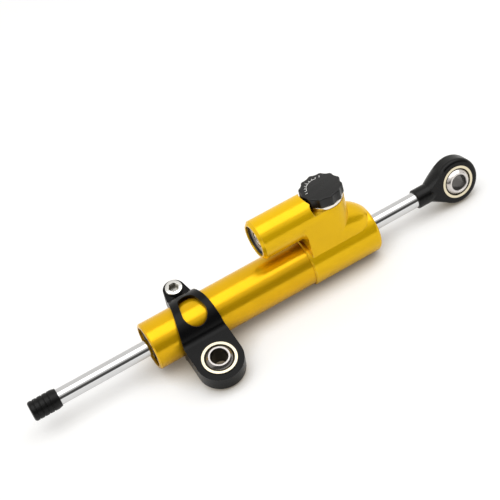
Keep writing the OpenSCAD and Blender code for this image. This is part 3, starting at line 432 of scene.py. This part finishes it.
# Glands: turned aluminium plugs that close both ends of the bore and guide the rod in
# bronze bushes. Rubber seals, wipers and rings keep the oil in.
# Its corners are darkened with painted shade.
gland_grey = finish("gland_grey", (0.62, 0.61, 0.63), 1, 0.34, rings_depth=0.004,
                    fineness=2200, painted_crease_shade=(0.05, 0.05, 0.055))
dress("left_gland right_gland", gland_grey)
clip_steel = finish("clip_steel", (0.30, 0.29, 0.28), 1, 0.3, rub=0.4,
                    rub_and_sheen_colour=(0.6, 0.59, 0.57), soft_edge=0.08)
dress("left_circlip right_circlip", clip_steel)
bush_bronze = finish("bush_bronze", (0.55, 0.34, 0.17), 1, 0.35, grain=0.002,
                     grain_size=6000)
dress("left_bush right_bush", bush_bronze)
seal_rubber = finish("seal_rubber", (0.018, 0.018, 0.018), 0, 0.55, grain=0.003,
                     grain_size=4000, soft_edge=0.1)
dress("left_rod_seal left_wiper left_gland_o_ring right_rod_seal right_wiper right_gland_o_ring "
      "tube_o_ring reservoir_plug_o_ring adjuster_o_ring floating_piston_o_ring", seal_rubber)


# Reservoir: a grey plug behind a retaining ring, with the hexagon-socket charge screw in
# its pocket. Behind it a floating piston parts the gas from the oil.
reservoir_height = 26.4
# Its pocket and corners are darkened with painted shade.
plug_grey = finish("plug_grey", (0.62, 0.60, 0.62), 1, 0.34, centre=(0, 0, reservoir_height),
                   rings_depth=0.004, fineness=2500, painted_crease_shade=(0.03, 0.03, 0.03))
dress("reservoir_plug", plug_grey)
dress("reservoir_circlip", blackened_spring_steel)
dress("floating_piston", piston_metal)
nickel_plate = finish("nickel_plate", (0.95, 0.94, 0.92), 1, 0.24, smudge=0.06, shade=0.04,
                      soft_edge=0.1)


def stack(levels, segments):
    made = bmesh.new()
    bmesh.ops.create_circle(made, segments=segments, radius=1)
    loop, edges = made.verts[:], made.edges[:]
    first = edges
    for i, (radius, height) in enumerate(levels):
        if i > 0:
            grown = bmesh.ops.extrude_edge_only(made, edges=edges)["geom"]
            loop = [part for part in grown if isinstance(part, bmesh.types.BMVert)]
            edges = [part for part in grown if isinstance(part, bmesh.types.BMEdge)]
        for vert in loop:
            turn = math.atan2(vert.co.y, vert.co.x)
            reach = radius(turn) if callable(radius) else radius
            vert.co = (reach * math.cos(turn), reach * math.sin(turn), height)
    bmesh.ops.contextual_create(made, geom=first)
    bmesh.ops.contextual_create(made, geom=edges)
    bmesh.ops.recalc_face_normals(made, faces=made.faces)
    return made


def as_mesh(form, name):
    made = bpy.data.meshes.new(name)
    form.to_mesh(made)
    form.free()
    return made


def piece(name, mesh, material, body, replaced=()):
    mesh.shade_smooth()
    mesh.set_sharp_from_angle(angle=math.radians(30))
    mesh.materials.clear()
    mesh.materials.append(material)
    made = bpy.data.objects.new(name, mesh)
    bpy.context.collection.objects.link(made)
    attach(made, body)
    if replaced:
        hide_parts(*replaced)
    return made


def socket_screw(key, depth, head_r, head_height, shank_r, shank_length, ridges=0):
    flare, ridge_depth, tip = 0.1 * MM, 0.06 * MM, 0.3 * MM
    crown_in, crown_drop = 0.55 * MM, 0.45 * MM
    brim_in, brim_drop = 0.2 * MM, 0.12 * MM

    def hexagon(turn):
        return key / 2 / math.cos(turn % (math.pi / 3) - math.pi / 6)

    def mouth(turn):
        return hexagon(turn) + flare

    def knurl(turn):
        return head_r - ridge_depth * abs(math.sin(ridges * turn / 2))

    return stack([(hexagon, head_height - depth), (hexagon, head_height - flare),
                  (mouth, head_height), (head_r - crown_in, head_height),
                  (head_r - brim_in, head_height - brim_drop), (knurl, head_height - crown_drop),
                  (knurl, brim_in), (head_r - brim_in, 0), (shank_r, 0),
                  (shank_r, tip - shank_length), (shank_r - tip, -shank_length)], segments=192)


box_low, box_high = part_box("charge_screw")
charge_head_height = 2.4 * MM
charge_seat = (box_low[0] + charge_head_height, 0, (box_low[2] + box_high[2]) / 2)
charge_form = socket_screw(key=3 * MM, depth=1.6 * MM, head_r=(box_high[2] - box_low[2]) / 2,
                           head_height=charge_head_height, shank_r=2 * MM,
                           shank_length=box_high[0] - box_low[0] - charge_head_height)
bmesh.ops.transform(charge_form, verts=charge_form.verts,
                    matrix=Matrix.Translation(charge_seat) @ Matrix.Rotation(-math.pi / 2, 4, "Y"))
piece("charge_socket_screw", as_mesh(charge_form, "charge_socket_screw"), nickel_plate, "root",
      ["charge_screw"])


# Adjuster: a steel spindle turns in the turret and closes on a brass seat. A sprung ball
# clicks into its flange, and a bright threaded ring holds it down.
turret_axis = dict(centre=(-70.7, 0, 0), turn=(0, 90, 0))
spindle_steel = finish("spindle_steel", (0.55, 0.55, 0.56), 1, 0.25, rings_depth=0.002,
                       **turret_axis)
dress("adjuster_spindle detent_spring detent_ball", spindle_steel)
seat_brass = finish("seat_brass", (0.80, 0.58, 0.25), 1, 0.25, rings_depth=0.002, **turret_axis)
dress("metering_seat", seat_brass)
bright_ring = finish("bright_ring", (0.97, 0.93, 0.86), 1, 0.16, rings_depth=0.001,
                     fineness=2500, soft_edge=0.2, **turret_axis)
dress("adjuster_retainer", bright_ring)


# Knob: turned aluminium with twelve scallops for the fingers, anodised satin black. A grub
# screw in its side grips the spindle. Its scale is printed in white: an arc and nine ticks.
def drilled(mesh, drill):
    work, tool = bpy.data.objects.new("work", mesh), bpy.data.objects.new("drill", drill)
    for thing in (work, tool):
        bpy.context.collection.objects.link(thing)
    hole = work.modifiers.new("hole", "BOOLEAN")
    hole.object = tool
    hole.solver = "EXACT"
    graph = bpy.context.evaluated_depsgraph_get()
    made = bpy.data.meshes.new_from_object(work.evaluated_get(graph))
    for thing in (work, tool):
        bpy.data.objects.remove(thing)
    return made


satin_black = finish("satin_black", (0.006, 0.006, 0.006), 0, 0.3, smudge=0.08, rub=0.25,
                     rub_and_sheen_colour=(0.08, 0.08, 0.08), grain=0.0012, grain_size=3500,
                     specular=0.42, **turret_axis)
box_low, box_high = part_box("adjuster_knob")
knob_x, knob_r = (box_low[0] + box_high[0]) / 2, (box_high[0] - box_low[0]) / 2
knob_low, knob_high = box_low[2], box_high[2]
print_height = 0.02 * MM
scallops, scallop_depth, scallop_r = 12, 0.7 * MM, 6 * MM
scallop_reach = knob_r - scallop_depth + scallop_r
lobe_softness = 0.06 * MM
low_round, low_steps = 0.35 * MM, 4
top_round, top_steps = 0.75 * MM, 6
socket_r, socket_depth, socket_chamfer = 4.03 * MM, 3.6 * MM, 0.3 * MM


def knob_outline(shrink):
    def radius(turn):
        off = abs(turn % (2 * math.pi / scallops) - math.pi / scallops)
        bite = math.sqrt(scallop_r ** 2 - (scallop_reach * math.sin(off)) ** 2)
        cut = scallop_reach * math.cos(off) - bite
        blend = lobe_softness * math.log1p(math.exp((knob_r - cut) / lobe_softness))
        return knob_r - blend - shrink
    return radius


knob_levels = [(socket_r, knob_low + socket_depth), (socket_r, knob_low + socket_chamfer),
               (socket_r + socket_chamfer, knob_low)]
for step in range(low_steps + 1):
    turn = math.radians(90 * step / low_steps)
    knob_levels.append((knob_outline(low_round * (1 - math.sin(turn))),
                        knob_low + low_round * (1 - math.cos(turn))))
for step in range(top_steps + 1):
    turn = math.radians(90 * step / top_steps)
    knob_levels.append((knob_outline(top_round * (1 - math.cos(turn))),
                        knob_high - print_height - top_round * (1 - math.sin(turn))))
knob_form = stack(knob_levels, segments=288)
bmesh.ops.translate(knob_form, verts=knob_form.verts, vec=(knob_x, 0, 0))
grub_low, grub_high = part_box("knob_grub_screw")
grub_gap, drill_start = 0.02 * MM, socket_r - 0.5 * MM
grub_r, grub_z = (grub_high[0] - grub_low[0]) / 2 + grub_gap, (grub_low[2] + grub_high[2]) / 2
drill_form = bmesh.new()
bmesh.ops.create_cone(drill_form, cap_ends=True, segments=48, radius1=grub_r, radius2=grub_r,
                      depth=knob_r)
bmesh.ops.rotate(drill_form, verts=drill_form.verts, cent=(0, 0, 0),
                 matrix=Matrix.Rotation(math.pi / 2, 3, "X"))
bmesh.ops.translate(drill_form, verts=drill_form.verts,
                    vec=(knob_x, drill_start + knob_r / 2, grub_z))
piece("knob", drilled(as_mesh(knob_form, "knob"), as_mesh(drill_form, "drill")), satin_black,
      "adjuster", ["adjuster_knob"])

printed_white = finish("printed_white", (0.80, 0.80, 0.78), 0, 0.5, grain=0.001,
                       grain_size=6000, soft_edge=0)
ticks, first_tick, tick_step, tick_width = 9, 62, 15, 0.3 * MM
long_tick, short_tick, ticks_per_long = 1.3 * MM, 0.8 * MM, 4
scale_r, scale_z = 6.9 * MM, knob_high - print_height / 2
arc_start, arc_sweep, arc_steps, arc_width = 77, 90, 36, 0.26 * MM
marks = bmesh.new()
for i in range(ticks):
    length = short_tick if i % ticks_per_long else long_tick
    tick = bmesh.ops.create_cube(marks, size=1)["verts"]
    bmesh.ops.scale(marks, verts=tick, vec=(length, tick_width, print_height))
    bmesh.ops.translate(marks, verts=tick, vec=(scale_r + length / 2, 0, scale_z))
    bmesh.ops.rotate(marks, verts=tick, cent=(0, 0, 0),
                     matrix=Matrix.Rotation(math.radians(first_tick + tick_step * i), 3, "Z"))
arc = bmesh.ops.create_grid(marks, x_segments=1, y_segments=1, size=0.5)["verts"]
bmesh.ops.rotate(marks, verts=arc, cent=(0, 0, 0), matrix=Matrix.Rotation(math.pi / 2, 3, "X"))
bmesh.ops.scale(marks, verts=arc, vec=(arc_width, 1, print_height))
bmesh.ops.translate(marks, verts=arc, vec=(scale_r - arc_width, 0, scale_z))
bmesh.ops.rotate(marks, verts=arc, cent=(0, 0, 0),
                 matrix=Matrix.Rotation(math.radians(arc_start), 3, "Z"))
arc_face = arc[0].link_faces[0]
bmesh.ops.spin(marks, geom=arc + list(arc_face.edges) + [arc_face], cent=(0, 0, 0),
               axis=(0, 0, 1), angle=math.radians(arc_sweep), steps=arc_steps)
bmesh.ops.recalc_face_normals(marks, faces=marks.faces)
bmesh.ops.translate(marks, verts=marks.verts, vec=(knob_x, 0, 0))
piece("knob_scale", as_mesh(marks, "knob_scale"), printed_white, "adjuster")


# Clamp: milled from one piece of aluminium and anodised black. One screw closes its
# split around the tube, and its lug holds a spherical bearing.
# Its edges are lightened a little with the shared edge mask: partly wear, partly painted sheen.
clamp_black = finish("clamp_black", (0.003, 0.003, 0.0033), 0, 0.27, smudge=0.06, rub=0.3,
                     rub_and_sheen_colour=(0.05, 0.05, 0.055), soft_edge=0.45, grain=0.001,
                     grain_size=3000, specular=0.17)
dress("clamp", clamp_black)
# Its socket and corners are darkened with painted shade.
zinc_plate = finish("zinc_plate", (0.90, 0.89, 0.85), 1, 0.2, rub=0.2,
                    rub_and_sheen_colour=(0.95, 0.94, 0.9), soft_edge=0.1, smudge=0.08, shade=0.1,
                    painted_crease_shade=(0.12, 0.11, 0.08))
clamp_x, clamp_lean = -151.6 * MM, math.radians(16.5)
screw_across, screw_along, screw_seat = 1 * MM, 18.6 * MM, 3 * MM
screw_form = socket_screw(key=4.6 * MM, depth=2.8 * MM, head_r=4.25 * MM, head_height=4 * MM,
                          shank_r=2.5 * MM, shank_length=8.5 * MM, ridges=40)
bmesh.ops.transform(screw_form, verts=screw_form.verts,
                    matrix=Matrix.Translation((clamp_x, 0, 0))
                    @ Matrix.Rotation(clamp_lean, 4, "X")
                    @ Matrix.Translation((screw_across, screw_along, screw_seat)))
piece("clamp_socket_screw", as_mesh(screw_form, "clamp_socket_screw"), zinc_plate, "clamp",
      ["clamp_screw"])


# Rod end and end cap: steel forged and turned, then blacked. The cap has four grooves
# for the fingers and is screwed onto the free end of the rod.
blacked_steel = finish("blacked_steel", (0.0035, 0.0035, 0.0034), 0, 0.3, smudge=0.08, rub=0.3,
                       rub_and_sheen_colour=(0.06, 0.06, 0.06), soft_edge=0.35, grain=0.0015,
                       grain_size=2600, specular=0.25)
dress("rod_end", blacked_steel)
cap_black = finish("cap_black", (0.004, 0.004, 0.004), 0, 0.36, smudge=0.08, rub=0.2,
                   rub_and_sheen_colour=(0.05, 0.05, 0.05), rub_roughness=0.35, soft_edge=0.2,
                   grain=0.002, grain_size=2600, specular=0.22)
dress("end_cap", cap_black)


# Spherical bearings: one in the clamp and one in the rod end, each a ground steel ball in a
# pale turned race. The gap between them and the bore are painted dark as painted shade, and
# the ball's face is painted in lighter and darker rings as painted light and shade. Each zone
# gives a distance from the bore's axis in millimetres, and how bright the metal is painted there.
clamp_bearing = dict(centre=(-151.6, -26.854, -5.816), turn=(0, -73.5, -90))
rod_end_bearing = dict(turn=(0, -9, -90))
race_painted_shade = [(6.9, 0.05), (7.1, 0.1), (7.3, 1), (8.4, 1), (8.55, 0.25)]
clamp_ball_painted_shade = [(4.1, 0.05), (4.25, 0.3), (4.4, 0.66), (5.05, 0.66), (5.25, 0.36), (6.6, 0.24),
               (7.3, 0.06)]
rod_end_ball_painted_shade = [(3.95, 0.14), (4.15, 0.3), (4.4, 0.85), (5.1, 0.85), (6.6, 0.75), (7.1, 0.15)]
for name, bearing, ball_painted_shade in [("clamp", clamp_bearing, clamp_ball_painted_shade),
                                  ("rod_end", rod_end_bearing, rod_end_ball_painted_shade)]:
    race_metal = finish(name + "_race_metal", (0.88, 0.79, 0.58), 1, 0.2, rings_depth=0.002,
                        fineness=4000, soft_edge=0.12, shade_zones=race_painted_shade, **bearing)
    dress(name + "_race", race_metal)
    ball_metal = finish(name + "_ball_metal", (0.90, 0.85, 0.82), 1, 0.22, rings_depth=0.001,
                        fineness=4000, soft_edge=0.12, shade_zones=ball_painted_shade, **bearing)
    dress(name + "_ball", ball_metal)
